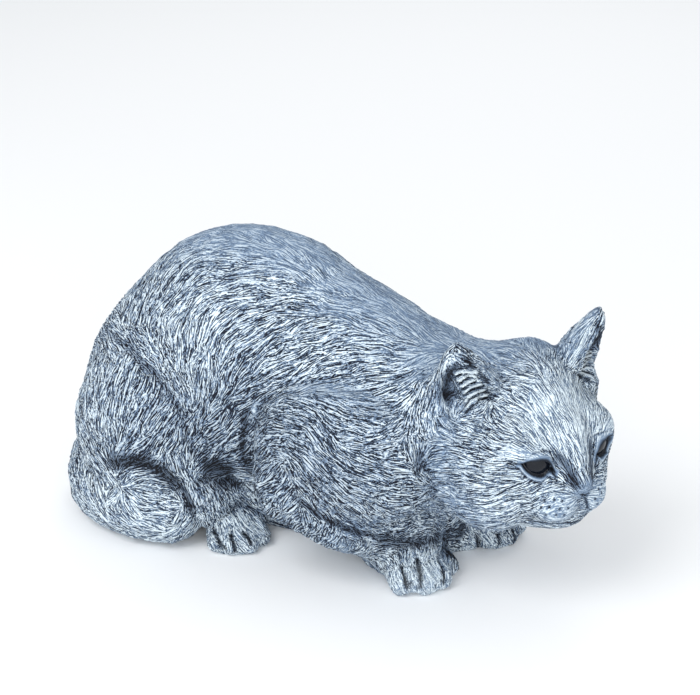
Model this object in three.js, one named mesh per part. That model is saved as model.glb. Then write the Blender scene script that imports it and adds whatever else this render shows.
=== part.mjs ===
// A life-size crouching cat, cast in one piece in grey stone, with a flat underside.
// Millimetres, +Z up, the cat looking along +X, so that its right side is at -Y.
//
// The form is a distance field: each mass of the animal is a function that gives the distance to
// it, and the masses are blended as a modeller blends clay. The field's zero surface becomes a
// mesh, which is then thinned where it is smooth.
import * as THREE from "three";
import { triTable } from "three/addons/objects/MarchingCubes.js";

// Driving sizes
const STATUE_LENGTH = 400;
const HEAD_WIDTH = 106;
const HEAD_TURN = -31; // degrees, to the cat's right
const HEAD_DIP = 6; // degrees, nose down
const RIGHT_EAR_HEIGHT = 55;
const LEFT_EAR_HEIGHT = 52;
const RIGHT_EAR_WIDTH = 55;
const LEFT_EAR_WIDTH = 59;
const EAR_WALL = 5;
const EYE_WIDTH = 20;
const FORE_PAW_WIDTH = 54;
const HIND_PAW_WIDTH = 45;
const TAIL_THICKNESS = 50;
const LOCK_WIDTH = 17;
const LOCK_DEPTH = 2;

// Fineness of the mesh
const CELL = 2.8;
const TRIANGLES = 9600;
const SLIVER = 0.1; // least ratio of a triangle's height to its longest side

// The body's masses are placed in shares of the length, one unit being a hundredth of it
const UNIT = STATUE_LENGTH / 100;
const scaled = (list, unit) => list.map((value) => value * unit);

// Distance functions

function ellipsoid(at, radii) {
  const [cx, cy, cz] = at;
  const [a, b, c] = radii;
  return (x, y, z) => {
    const u = (x - cx) / a;
    const v = (y - cy) / b;
    const w = (z - cz) / c;
    const near = Math.hypot(u, v, w);
    const slope = Math.hypot(u / a, v / b, w / c);
    return slope < 1e-9 ? -Math.min(a, b, c) : (near * (near - 1)) / slope;
  };
}

// A limb is a chain of balls, [x, y, z, radius] each, joined by cones
function limb(balls) {
  const links = balls.slice(1).map((ball, i) => {
    const from = balls[i];
    const along = [ball[0] - from[0], ball[1] - from[1], ball[2] - from[2]];
    return { from, along, length2: along[0] ** 2 + along[1] ** 2 + along[2] ** 2, grow: ball[3] - from[3] };
  });
  return (x, y, z) => {
    let nearest = Infinity;
    for (const { from, along, length2, grow } of links) {
      const dx = x - from[0];
      const dy = y - from[1];
      const dz = z - from[2];
      const share = (dx * along[0] + dy * along[1] + dz * along[2]) / length2;
      const t = Math.min(1, Math.max(0, share));
      const away = Math.hypot(dx - along[0] * t, dy - along[1] * t, dz - along[2] * t);
      nearest = Math.min(nearest, away - from[3] - grow * t);
    }
    return nearest;
  };
}

function smoothCurveLimb(balls, steps) {
  const path = new THREE.CatmullRomCurve3(balls.map((b) => new THREE.Vector3(b[0], b[1], b[2])));
  const thickness = new THREE.CatmullRomCurve3(balls.map((b) => new THREE.Vector3(b[3], 0, 0)));
  const chain = [];
  for (let i = 0; i <= steps; i++) {
    const t = i / steps;
    chain.push([...path.getPoint(t).toArray(), thickness.getPoint(t).x]);
  }
  return limb(chain);
}

// A form given in a frame of its own, which is turned by [turn, dip, tilt] degrees and then moved
function placed(at, angles, form) {
  const [turn, dip, tilt] = angles.map(THREE.MathUtils.degToRad);
  const matrix = new THREE.Matrix4().makeRotationFromEuler(new THREE.Euler(tilt, dip, turn, "ZYX"));
  const m = matrix.setPosition(...at).invert().elements;
  return (x, y, z) =>
    form(
      m[0] * x + m[4] * y + m[8] * z + m[12],
      m[1] * x + m[5] * y + m[9] * z + m[13],
      m[2] * x + m[6] * y + m[10] * z + m[14],
    );
}

const mirrored = (form) => (x, y, z) => form(x, Math.abs(y), z);

function softMin(a, b, width) {
  const overlap = Math.max(width - Math.abs(a - b), 0) / width;
  return Math.min(a, b) - (overlap * overlap * width) / 4;
}

const blended = (width, ...forms) => (x, y, z) =>
  forms.reduce((sum, form) => softMin(sum, form(x, y, z), width), 1e6);

const carved = (width, form, tool) => (x, y, z) => -softMin(-form(x, y, z), tool(x, y, z), width);

// Masses of the animal

const mass = (at, radii, angles = [0, 0, 0]) =>
  placed(scaled(at, UNIT), angles, ellipsoid([0, 0, 0], scaled(radii, UNIT)));

function torso() {
  return blended(
    6 * UNIT,
    mass([-12, 1, 29.5], [27, 16, 26]),
    mass([-30.5, 0, 21.7], [15.6, 15.5, 18.8]),
    mass([9, 0, 30.3], [15, 14, 17.3]),
    mass([22, 1, 29], [13, 14.5, 13]),
    mass([-8, 4, 9], [24, 9, 12]),
    mass([16.5, 1.5, 15.5], [9, 11, 9]),
    mass([13.5, -1, 6], [5.5, 8, 8]),
    mass([20, 5.5, 5], [6, 6, 6]),
  );
}

function thigh(side) {
  return blended(
    3 * UNIT,
    mass([-28.5, side * 10.5, 20], [14.5, 9, 15.5], [0, 15, side * 8]),
    mass([-19, side * 10, 12], [7, 6.5, 9]),
  );
}

// A paw points along +X in its own frame, with its sole on the ground at the origin
function paw(width) {
  const toeRadius = width * 0.17;
  const toes = [-1.5, -0.5, 0.5, 1.5].map((place) => {
    const spread = THREE.MathUtils.degToRad(place * 13);
    const reach = width * (0.72 - 0.06 * place * place);
    const tip = [reach * Math.cos(spread), place * toeRadius * 1.32, toeRadius * 0.8, toeRadius];
    const root = [0, place * toeRadius * 0.8, width * 0.36, toeRadius];
    return limb([root, tip]);
  });
  const back = ellipsoid([width * 0.05, 0, width * 0.24], [width * 0.55, width * 0.42, width * 0.34]);
  return blended(width * 0.05, back, ...toes);
}

function upperArm(side) {
  return blended(
    4 * UNIT,
    mass([11, side * 13, 25], [15, 7.5, 12], [0, 12, side * -6]),
    mass([4, side * 14.5, 22], [8.5, 6, 11]),
  );
}

function foreleg(side, balls, pawAt, pawTurn) {
  return blended(
    3 * UNIT,
    limb(balls.map(([x, y, z, r]) => scaled([x, side * y, z, r], UNIT))),
    placed(scaled(pawAt, UNIT), [pawTurn, 0, 0], paw(FORE_PAW_WIDTH)),
  );
}

function tail() {
  const r = TAIL_THICKNESS / 2 / UNIT;
  return smoothCurveLimb(
    [
      [-38, 6, 13, r],
      [-43.5, -2, 8, r],
      [-39, -11, 6, r],
      [-30, -14.5, 6, r],
      [-23, -14, 6, r * 0.95],
    ].map((ball) => scaled(ball, UNIT)),
    16,
  );
}

// The head is modelled in shares of its own width, a hundredth each, with its face along +X
const HEAD_UNIT = HEAD_WIDTH / 100;
const headMass = (at, radii, angles = [0, 0, 0]) =>
  placed(scaled(at, HEAD_UNIT), angles, ellipsoid([0, 0, 0], scaled(radii, HEAD_UNIT)));

// The ear stands along +Z in its own frame, and opens along +X
function ear(height, width) {
  const wide = width / 2;
  const deep = height * 0.34;
  const cone = (grow, shift) => (x, y, z) => {
    const t = Math.min(1, z / height);
    const spread = t > 0 ? (1 - t) ** 0.7 : 1 + 2 * t;
    const a = Math.max(deep * spread + grow, 0.1);
    const b = Math.max(wide * spread + grow, 0.1);
    const round = Math.hypot((x - shift) / a, y / b);
    return Math.max((round - 1) * Math.min(a, b), z - height - grow, -z - height * 0.35);
  };
  return carved(2, cone(2, 0), cone(2 - EAR_WALL, deep * 0.6));
}

function eye() {
  const half = EYE_WIDTH / 2;
  return {
    socket: ellipsoid([half * 0.5, 0, 0], [half * 0.85, half * 1.15, half * 0.8]),
    ball: ellipsoid([-half * 0.6, 0, 0], [half, half * 0.98, half * 0.86]),
  };
}

function head() {
  const skull = blended(
    10 * HEAD_UNIT,
    headMass([-6, 0, 12], [42, 33, 36.5]),
    mirrored(headMass([-8, 22, 0], [36, 24, 29])),
    mirrored(headMass([-19, 14, 26], [20, 18, 19.5])),
    mirrored(headMass([2, 26, -15], [36, 27, 30])),
    headMass([16, 0, -30], [38, 30, 22]),
    headMass([28, 0, -13], [24, 27, 26]),
    mirrored(headMass([25, 13, -37], [16, 15, 12.5])),
    mirrored(headMass([33, 13, -14], [17, 18.5, 17])),
    mirrored(headMass([25, 22, 4], [18, 21.5, 18])),
    mirrored(headMass([-4, 42, 20], [13, 9, 13])),
  );
  const ruff = mirrored(headMass([-1, 31, -34], [38, 24, 26]));
  const muzzle = blended(
    3 * HEAD_UNIT,
    mirrored(headMass([45, 11, -24], [14.5, 15, 12.5])),
    headMass([39, 0, -36], [16, 18, 11]),
    limb([scaled([33, 0, 14, 14], HEAD_UNIT), scaled([53, 0, -9, 9], HEAD_UNIT)]),
  );
  const face = blended(6 * HEAD_UNIT, skull, ruff, muzzle);
  const rightEar = placed(scaled([-9.5, -37, 18], HEAD_UNIT), [-28, 11, 17], ear(RIGHT_EAR_HEIGHT, RIGHT_EAR_WIDTH));
  const leftEar = placed(scaled([-9.5, 36, 18], HEAD_UNIT), [28, 11, -23], ear(LEFT_EAR_HEIGHT, LEFT_EAR_WIDTH));
  const bare = blended(5 * HEAD_UNIT, face, rightEar, leftEar);
  const { socket, ball } = eye();
  const at = (form) => mirrored(placed(scaled([44, 23.5, 2.5], HEAD_UNIT), [27, 0, 0], form));
  return blended(0.5, carved(2, bare, at(socket)), at(ball));
}

// Locks of fur are furrows that run back and down from the spine, and that waver as they go.
// The depth fades out over the face and the paws.
function furLocks(x, y, z) {
  const spineHeight = 27 * UNIT;
  const girth = 20 * UNIT * Math.atan2(Math.abs(y), z - spineHeight);
  const across = girth + 0.55 * x;
  const waver = 0.9 * Math.sin(x / 17 + across / 29) + 0.6 * Math.sin(x / 9.5 - across / 13);
  const furrow = 1 - Math.abs(Math.sin((Math.PI * across) / LOCK_WIDTH + waver));
  const broken = 0.65 + 0.35 * Math.sin(x / 13 + across / 7);
  const bare = Math.min(1, Math.max(0, (42 * UNIT - x) / 40)) * Math.min(1, Math.max(0, z / 30 - 0.5));
  return LOCK_DEPTH * bare * broken * furrow * furrow;
}

function cat() {
  const body = blended(1.8 * UNIT, torso(), thigh(-1), thigh(1), upperArm(-1), upperArm(1));
  const foreRight = [
    [2, 15, 18, 6.5],
    [10, 12.5, 13.5, 6.5],
    [18.4, 5.4, 8.8, 6.5],
  ];
  const foreLeft = [
    [2, 15, 18, 6.5],
    [12, 15, 13, 6],
    [20, 16, 7, 5],
  ];
  const limbs = blended(
    1.5 * UNIT,
    body,
    foreleg(-1, foreRight, [16.3, -3.5, 0], -28),
    foreleg(1, foreLeft, [21.3, 15.5, 0], -32),
    placed(scaled([-15.1, -6.5, 0], UNIT), [-48, 0, 0], paw(HIND_PAW_WIDTH)),
    placed(scaled([-16, 12, 0], UNIT), [40, 0, 0], paw(HIND_PAW_WIDTH)),
    tail(),
  );
  const whole = blended(
    5 * UNIT,
    limbs,
    placed(scaled([37, 0.8, 30], UNIT), [HEAD_TURN, HEAD_DIP, 0], head()),
  );
  return (x, y, z) => Math.max(whole(x, y, z) + furLocks(x, y, z), -z);
}

// Meshing: the field is sampled on a grid of cubes, and the skin of each cube comes from a table of cases

const CORNERS = [
  [0, 0, 0], [1, 0, 0], [1, 1, 0], [0, 1, 0],
  [0, 0, 1], [1, 0, 1], [1, 1, 1], [0, 1, 1],
];
const EDGES = [
  [0, 1], [1, 2], [3, 2], [0, 3], [4, 5], [5, 6], [7, 6], [4, 7], [0, 4], [1, 5], [2, 6], [3, 7],
];

function surfaceOf(field, low, high, cell) {
  const [nx, ny, nz] = [0, 1, 2].map((k) => Math.ceil((high[k] - low[k]) / cell) + 1);
  const indexOf = (i, j, k) => i + nx * (j + ny * k);
  const samples = new Float32Array(nx * ny * nz);
  for (let k = 0; k < nz; k++)
    for (let j = 0; j < ny; j++)
      for (let i = 0; i < nx; i++)
        samples[indexOf(i, j, k)] = field(low[0] + i * cell, low[1] + j * cell, low[2] + k * cell);

  const points = [];
  const triangles = [];
  const known = new Map();
  const crossing = (i, j, k, edge) => {
    const [a, b] = edge.map((corner) => CORNERS[corner].map((step, axis) => step + [i, j, k][axis]));
    const key = indexOf(...a) * nx * ny * nz + indexOf(...b);
    if (!known.has(key)) {
      const fa = samples[indexOf(...a)];
      const fb = samples[indexOf(...b)];
      const share = Math.min(0.98, Math.max(0.02, fa / (fa - fb)));
      known.set(key, points.length);
      const at = a.map((step, axis) => low[axis] + cell * (step + share * (b[axis] - step)));
      if (at[2] < cell / 4) at[2] = 0;
      points.push(at);
    }
    return known.get(key);
  };
  for (let k = 0; k < nz - 1; k++)
    for (let j = 0; j < ny - 1; j++)
      for (let i = 0; i < nx - 1; i++) {
        let outside = 0;
        CORNERS.forEach(([di, dj, dk], corner) => {
          if (samples[indexOf(i + di, j + dj, k + dk)] > 0) outside |= 1 << corner;
        });
        if (outside === 0 || outside === 255) continue;
        for (let t = outside * 16; triTable[t] !== -1; t += 3)
          triangles.push([0, 1, 2].map((n) => crossing(i, j, k, EDGES[triTable[t + n]])));
      }
  return { points, triangles: outerSkin(triangles, points.length) };
}

// Small pockets that the blending leaves inside are filled: only the largest closed skin is kept
function outerSkin(triangles, pointCount) {
  const group = Int32Array.from({ length: pointCount }, (_, v) => v);
  const rootOf = (v) => {
    while (group[v] !== v) v = group[v] = group[group[v]];
    return v;
  };
  for (const [a, b, c] of triangles) {
    group[rootOf(b)] = rootOf(a);
    group[rootOf(c)] = rootOf(a);
  }
  const sizes = new Map();
  for (const [a] of triangles) sizes.set(rootOf(a), (sizes.get(rootOf(a)) ?? 0) + 1);
  const largest = [...sizes].reduce((best, entry) => (entry[1] > best[1] ? entry : best))[0];
  return triangles.filter(([a]) => rootOf(a) === largest);
}

// Thinning: the edge whose removal moves the surface least is closed up first. A quadric sums the
// squared distances of a point to the planes that its faces had at the start. Points on the ground
// stay on the ground. A distance counts for more where `care` is higher.

class Heap {
  items = [];
  push(item) {
    const list = this.items;
    let at = list.push(item) - 1;
    while (at > 0) {
      const up = (at - 1) >> 1;
      if (list[up].cost <= list[at].cost) break;
      [list[up], list[at]] = [list[at], list[up]];
      at = up;
    }
  }
  pop() {
    const list = this.items;
    const top = list[0];
    const last = list.pop();
    if (list.length) {
      list[0] = last;
      let at = 0;
      for (;;) {
        let least = at;
        for (const child of [2 * at + 1, 2 * at + 2])
          if (child < list.length && list[child].cost < list[least].cost) least = child;
        if (least === at) break;
        [list[least], list[at]] = [list[at], list[least]];
        at = least;
      }
    }
    return top;
  }
}

const minus = (a, b) => [a[0] - b[0], a[1] - b[1], a[2] - b[2]];
const cross = (a, b) => [a[1] * b[2] - a[2] * b[1], a[2] * b[0] - a[0] * b[2], a[0] * b[1] - a[1] * b[0]];
const dot = (a, b) => a[0] * b[0] + a[1] * b[1] + a[2] * b[2];

function planeQuadric(a, b, c) {
  const n = cross(minus(b, a), minus(c, a));
  const area = Math.hypot(...n);
  if (area < 1e-12) return new Array(10).fill(0);
  const [x, y, z] = n.map((value) => value / area);
  const d = -dot([x, y, z], a);
  return [x * x, x * y, x * z, x * d, y * y, y * z, y * d, z * z, z * d, d * d].map((q) => q * area);
}

function quadricError(q, [x, y, z]) {
  return (
    q[0] * x * x + 2 * q[1] * x * y + 2 * q[2] * x * z + 2 * q[3] * x +
    q[4] * y * y + 2 * q[5] * y * z + 2 * q[6] * y + q[7] * z * z + 2 * q[8] * z + q[9]
  );
}

// The point of least error, or null where the surface around it is too flat to have one
function quadricPoint(q) {
  const rows = [[q[0], q[1], q[2]], [q[1], q[4], q[5]], [q[2], q[5], q[7]]];
  const right = [-q[3], -q[6], -q[8]];
  const volume = dot(rows[0], cross(rows[1], rows[2]));
  const size = q[0] + q[4] + q[7];
  if (Math.abs(volume) < 1e-4 * size ** 3) return null;
  return [
    dot(right, cross(rows[1], rows[2])) / volume,
    dot(rows[0], cross(right, rows[2])) / volume,
    dot(rows[0], cross(rows[1], right)) / volume,
  ];
}

function thinned({ points, triangles }, target, care) {
  const quadrics = points.map(() => new Array(10).fill(0));
  const facesOf = points.map(() => new Set());
  triangles.forEach((face, f) => {
    const quadric = planeQuadric(...face.map((v) => points[v]));
    for (const v of face) {
      facesOf[v].add(f);
      quadric.forEach((value, n) => (quadrics[v][n] += care(points[v]) * value));
    }
  });
  const stamps = new Uint32Array(points.length);
  const isGround = (v) => Math.abs(points[v][2]) < 1e-6;
  const ring = (v) => {
    const found = new Set();
    for (const f of facesOf[v]) for (const w of triangles[f]) if (w !== v) found.add(w);
    return found;
  };
  const heap = new Heap();
  const offer = (a, b) => {
    const sum = quadrics[a].map((value, n) => value + quadrics[b][n]);
    let places = [points[a], points[b], points[a].map((value, n) => (value + points[b][n]) / 2)];
    const best = quadricPoint(sum);
    const apart = Math.hypot(...minus(points[a], points[b]));
    if (best && Math.hypot(...minus(best, places[2])) < apart) places.push(best);
    if (isGround(a) && isGround(b)) places = places.map(([x, y]) => [x, y, 0]);
    else if (isGround(a)) places = [points[a]];
    else if (isGround(b)) places = [points[b]];
    const costs = places.map((place) => Math.max(0, quadricError(sum, place)));
    const cost = Math.min(...costs);
    const at = places[costs.indexOf(cost)];
    heap.push({ cost: cost + 1e-5 * apart * apart, a, b, at, stampA: stamps[a], stampB: stamps[b], sum });
  };
  // A face may not turn over, or become a worse sliver, when its corner moves
  const shapeOf = (corners) => {
    const normal = cross(minus(corners[1], corners[0]), minus(corners[2], corners[0]));
    const longest = Math.max(...[0, 1, 2].map((k) => Math.hypot(...minus(corners[k], corners[(k + 1) % 3]))));
    const size = Math.hypot(...normal);
    return { normal, size, thickness: size / (longest * longest + 1e-12) };
  };
  const keepsShape = (v, gone, at) => {
    for (const f of facesOf[v]) {
      const face = triangles[f];
      if (face.includes(gone)) continue;
      const before = shapeOf(face.map((w) => points[w]));
      const after = shapeOf(face.map((w) => (w === v ? at : points[w])));
      if (after.thickness < Math.min(SLIVER, before.thickness)) return false;
      if (dot(before.normal, after.normal) < 0.3 * before.size * after.size) return false;
    }
    return true;
  };

  const seen = new Set();
  for (const [a, b, c] of triangles)
    for (const [p, q] of [[a, b], [b, c], [c, a]]) {
      const key = Math.min(p, q) * points.length + Math.max(p, q);
      if (!seen.has(key)) offer(p, q);
      seen.add(key);
    }
  let left = triangles.length;
  while (left > target && heap.items.length) {
    const { a, b, at, stampA, stampB, sum } = heap.pop();
    if (stamps[a] !== stampA || stamps[b] !== stampB || !facesOf[a] || !facesOf[b]) continue;
    const ringB = ring(b);
    const shared = [...ring(a)].filter((v) => ringB.has(v));
    if (shared.length !== 2 || !keepsShape(a, b, at) || !keepsShape(b, a, at)) continue;
    for (const f of facesOf[b]) {
      const face = triangles[f];
      if (face.includes(a)) {
        for (const v of face) if (v !== b) facesOf[v].delete(f);
        triangles[f] = null;
        left--;
      } else {
        face[face.indexOf(b)] = a;
        facesOf[a].add(f);
      }
    }
    facesOf[b] = null;
    points[a] = at;
    quadrics[a] = sum;
    stamps[a]++;
    stamps[b]++;
    for (const v of ring(a)) offer(a, v);
  }
  return { points, triangles: triangles.filter((face) => face) };
}

function geometryOf({ points, triangles }) {
  const used = new Map();
  const positions = [];
  const indices = triangles.flat().map((v) => {
    if (!used.has(v)) {
      used.set(v, used.size);
      positions.push(...points[v]);
    }
    return used.get(v);
  });
  const geometry = new THREE.BufferGeometry();
  geometry.setAttribute("position", new THREE.Float32BufferAttribute(positions, 3));
  geometry.setIndex(indices);
  geometry.computeVertexNormals();
  return geometry;
}

// The origin is on the ground, in the middle of the cat's length and width
function centred(geometry) {
  geometry.computeBoundingBox();
  const { min, max } = geometry.boundingBox;
  return geometry.translate(-(min.x + max.x) / 2, -(min.y + max.y) / 2, 0);
}

const castStone = new THREE.MeshStandardMaterial({ color: 0x8e9cab, roughness: 0.85, metalness: 0 });
const low = scaled([-60, -32, 0], UNIT);
const high = scaled([62, 32, 66], UNIT);
const surface = surfaceOf(cat(), [low[0], low[1], -1.5 * CELL], high, CELL);
const faceCentre = scaled([47, -4, 27], UNIT);
const faceCare = (point) => (Math.hypot(...minus(point, faceCentre)) < HEAD_WIDTH / 2 ? 25 : 1);
const figure = new THREE.Mesh(centred(geometryOf(thinned(surface, TRIANGLES, faceCare))), castStone);
figure.name = "cat";

const statue = new THREE.Group();
statue.add(figure);

export default statue;
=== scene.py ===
"""Crouching cat garden statue: the carved coat, painted eyes and washed stone over the cast solid."""

import math
from itertools import product

import bmesh
import bpy
import numpy as np
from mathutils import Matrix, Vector


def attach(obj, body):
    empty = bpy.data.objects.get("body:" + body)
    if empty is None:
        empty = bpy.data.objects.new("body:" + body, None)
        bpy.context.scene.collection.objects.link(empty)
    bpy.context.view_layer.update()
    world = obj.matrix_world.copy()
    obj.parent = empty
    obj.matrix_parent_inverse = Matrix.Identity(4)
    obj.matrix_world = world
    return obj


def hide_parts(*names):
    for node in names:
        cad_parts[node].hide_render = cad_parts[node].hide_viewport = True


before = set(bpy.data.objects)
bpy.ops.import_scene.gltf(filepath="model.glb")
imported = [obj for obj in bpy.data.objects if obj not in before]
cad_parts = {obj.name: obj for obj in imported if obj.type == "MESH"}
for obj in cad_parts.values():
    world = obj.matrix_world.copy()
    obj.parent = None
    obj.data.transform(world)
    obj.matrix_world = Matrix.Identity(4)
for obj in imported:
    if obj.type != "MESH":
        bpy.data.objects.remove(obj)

bl_info = {
    "name": "Crouching Cat Statue",
    "version": (1, 0, 0),
    "blender": (4, 5, 0),
    "location": "View3D > Sidebar > Statue",
    "description": "Carves and paints a cast stone cat",
    "category": "Object",
}

MM = 0.001  # metres in a millimetre; all sculpting below is in millimetres

# The head's own frame: x out of the nose, y to the cat's left, z out of the crown.
HEAD_AT = (143.55, 3.0, 120.0)
HEAD_TURN = -31.0  # degrees, towards the cat's right
HEAD_DIP = 6.0  # degrees, nose down

FACE_SIDES = (-1.0, 1.0)  # the cat's right, then its left, as they are carved on the face
BODY_SIDES = (1.0, -1.0)  # body strokes as they are written, then mirrored

# Cuts and edges of the body, as strokes over the skin: the tool's width in mm, how far it pushes the
# skin out, and how dark it leaves the cut, partly the dark wash and partly painted shade in the crease.
BODY_CUTS = (
    (3.4, -1.3, 0.45, (
        (-166, -23, 138), (-133, -48, 140), (-106, -58, 131), (-89, -61, 118), (-79, -62, 102),
        (-73, -64, 84), (-64, -60, 61),
    )),
    (3.2, -1.3, 0.75, (
        (-19, -58, 125), (-30, -59, 117), (-34, -58, 102), (-36, -54, 77), (-14, -79, 72), (1, -85, 66),
    )),
    (2.6, -1.2, 0.7, (
        (7, -84, 86), (26, -81, 71), (45, -74, 58), (67, -57, 46), (85, -42, 38), (95, -21, 37),
    )),
    (3.0, -1.0, 0.55, ((95, -55, 118), (96, -62, 101))),
    (3.0, -1.5, 0.8, (
        (-131, -77, 59), (-122, -78, 64), (-109, -77, 66), (-92, -74, 67), (-84, -69, 57),
        (-77, -67, 47), (-74, -64, 32), (-73, -61, 21),
    )),
    (3.4, -1.5, 0.75, ((-72, -66, 54), (-63, -60, 58), (-53, -47, 52), (-46, -41, 44))),
)
# Cuts between the toes, and the claws at their tips.
TOE_CUTS = (
    ((87, -39, 23), (93, -46, 9)),
    ((97, -24, 17), (104, -32, 8)),
    ((78, -45, 19), (85, -50, 9)),
    ((103, 26, 11), (104, 27, 2)),
    ((115, 33, 14), (117, 33, 5)),
    ((122, 44, 13), (124, 45, 5)),
    ((-64, -53, 14), (-53, -59, 7)),
    ((-50, -53, 14), (-43, -58, 5)),
    ((-42, -46, 14), (-35, -50, 9)),
    ((-64, 53, 14), (-53, 59, 7)),
    ((-50, 53, 14), (-43, 58, 5)),
    ((-42, 46, 14), (-35, 50, 9)),
)
CLAWS = ((86, -48, 11), (91, -46, 8), (101, -38, 8), (103, -33, 9))
# Broad patches of painted shade in the deep creases and gaps, behind the elbow, along the tail, under the
# forearm and between the paws: the brush's width, how dark, and the stroke.
PAINTED_SHADE_PATCHES = (
    (10.0, 0.95, ((-68, -60, 66), (-57, -55, 66), (-46, -50, 62))),
    (7.0, 0.7, ((-60, -58, 57), (-52, -50, 52), (-42, -46, 50))),
    (6.0, 0.6, ((-36, -56, 92), (-34, -56, 70), (-20, -72, 68))),
    (7.0, 0.75, ((-136, -74, 58), (-122, -78, 66), (-104, -76, 70), (-88, -72, 60), (-78, -67, 44))),
    (7.0, 0.6, ((62, -58, 44), (88, -38, 38), (100, -16, 36))),
    (9.0, 0.9, ((104, 4, 30), (112, 10, 22), (124, 20, 22))),
)
# Broad painted light and shade: how much, darker or paler, and the middle and radii of the place. The flank,
# the shoulder and the chest are painted in shade; the paws and the tail are painted lighter in place of
# light.
PAINTED_LIGHT_AND_SHADE = (
    (0.24, "dark", (-10, -75, 85), (110, 50, 62)),
    (0.15, "dark", (40, -70, 40), (50, 40, 30)),
    (0.72, "pale", (92, -40, 10), (26, 24, 18)),
    (0.6, "pale", (-46, -52, 8), (26, 20, 16)),
    (0.42, "pale", (-112, -62, 26), (42, 38, 32)),
)
KNOT = (-24, -58, 120)  # a small round knot where the shoulder meets the flank

# Lines of the face, in the head's own frame. The side of the nose, the brow and the whisker pits
# are drawn on both sides.
PHILTRUM = ((60.5, 3.4, -20.2), (60.9, 7.3, -31.3))
MOUTH = (
    (
        (60.9, 7.3, -31.3), (55.4, 9.2, -41.7), (58.5, -1.6, -40), (55.4, -13.1, -38.9),
        (48.5, -20.4, -40.1), (43.2, -26.2, -37.7),
    ),
    ((60.9, 7.3, -31.3), (60.2, 11.4, -33), (61.5, 14.8, -30.2)),
)
NOSTRILS = (((63.7, -3.4, -13.7), (60.4, 3.4, -19.5)), ((63.7, 10.2, -13.7), (60.4, 3.4, -19.5)))
NOSE_SIDE = ((63.6, -5.5, -10), (59.3, -7.8, -3.6), (54.2, -9.6, 2.9), (48.9, -12.5, 8.1), (46, -16.8, 9.9))
BROW = ((31.2, -43.9, 10.1), (38.5, -37.3, 13.2), (47.4, -23.2, 9))
WHISKER_PITS = (
    (50.3, -27.9, -18.7), (54.3, -24, -17.5), (57.5, -19.4, -17), (60.2, -14.3, -17.7),
    (48.5, -28.7, -25.8), (53.9, -26.1, -23.1), (58, -22.3, -21.8), (61.2, -17, -21.5), (62.6, -10.7, -22.7),
    (50.6, -26.5, -30.5), (56.9, -23.8, -27.4), (61, -19.3, -26.2), (62.4, -13, -27.4),
)
# The first and the last tuft inside each ear; the rest are spaced between them.
RIGHT_TUFTS = (
    ((1.5, -44.5, 54.4), (-1.5, -53.1, 55.1), (-6.4, -59.8, 50.7)),
    ((1.6, -34.7, 35.7), (1.5, -44.4, 33.2), (0.7, -53, 26.3)),
)
LEFT_TUFTS = (
    ((4.6, 32.9, 44.3), (-12.5, 56.6, 34.4), (-12.2, 63.2, 33.6)),
    ((7.9, 25.5, 38.3), (5.1, 38.9, 30.2), (8.7, 44.1, 26.9)),
)
# The rims and folds of the ears: the tool's width, how far it raises the skin, and its paint.
EAR_EDGES = (
    (1.8, 0.5, "pale", 0.9, (
        (-5, -58, 67), (-9, -62, 61), (-10, -64, 52), (-10, -64, 42), (-9, -61, 28), (-2, -58, 19),
    )),
    (2.6, -0.7, "dark", 0.8, ((-5, -55, 65), (-1, -50, 58), (3, -44, 50), (6, -38, 43))),
    (1.6, 0.4, "pale", 0.7, ((-2, -51, 64), (3, -44, 55), (6, -37, 47), (7, -32, 40))),
    (3.6, -1.0, "dark", 0.75, ((-4, 54, 60), (-5, 52, 52), (-3, 46, 43), (2, 43, 34))),
    (1.6, 0.5, "pale", 0.9, ((-7, 54, 64), (-3, 46, 59), (0, 38, 52), (3, 32, 47), (5, 28, 42), (8, 27, 34))),
)
# Painted shade in the depth of each ear, beside its tufts.
EAR_HOLLOWS = (
    ((-3.8, -59.6, 60), (-9.6, -62, 41.5), (-10, -57.3, 28.2)),
    ((-12, 60, 52), (-10, 60, 44), (-6, 57, 36)),
)

# The eyes: the middle of the opening, how far it faces out sideways and slants up outwards, and
# the edges of the lids, from the outer corner to the inner one.
EYE_AT = (46.0, 26.0, 2.8)
EYE_YAW = 27.0  # degrees
EYE_SLANT = 14.0  # degrees
EYE_HALF = 11.5  # half the opening's length
EYE_BALL = 12.5  # radius of the eyeball
UPPER_LID = ((-11.5, 0), (-6, 3.2), (0, 5.4), (4, 5.6), (7, 3.8), (9, 1.5), (11.5, -1.5))
LOWER_LID = ((-11.5, 0), (-8, -3), (-4, -5.2), (0, -6), (4, -5.8), (6.5, -4), (8, -1.5), (11.5, -1.5))

TEAR = ((8.5, 0.2), (11.5, -1.8), (13.5, -4.0), (14.6, -7.0))
LID_TAIL = ((-10.5, 0.3), (-14.0, -0.4), (-18.0, -1.8), (-23.0, -4.0))

# The camera, as worked out from the photo, and the lamps: where they hang, their size in metres
# and their power in watts.
CAMERA_TURN = 27.0  # degrees round from the cat's right, towards its nose
CAMERA_RISE = 25.0  # degrees
CAMERA_AIM = (0.01655, -0.0002, 0.150)
CAMERA_AWAY = 1.150
CAMERA_LENS = 88.12
LAMPS = (
    ("key", (-0.3, -1.2, 1.5), 1.0, 17.0),
    ("fill", (1.0, -1.5, 0.45), 1.5, 20.0),
    ("rim", (-0.4, 1.6, 1.5), 1.2, 6.0),
)
LAMPS_AIM = (0.0, 0.0, 0.08)

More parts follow.
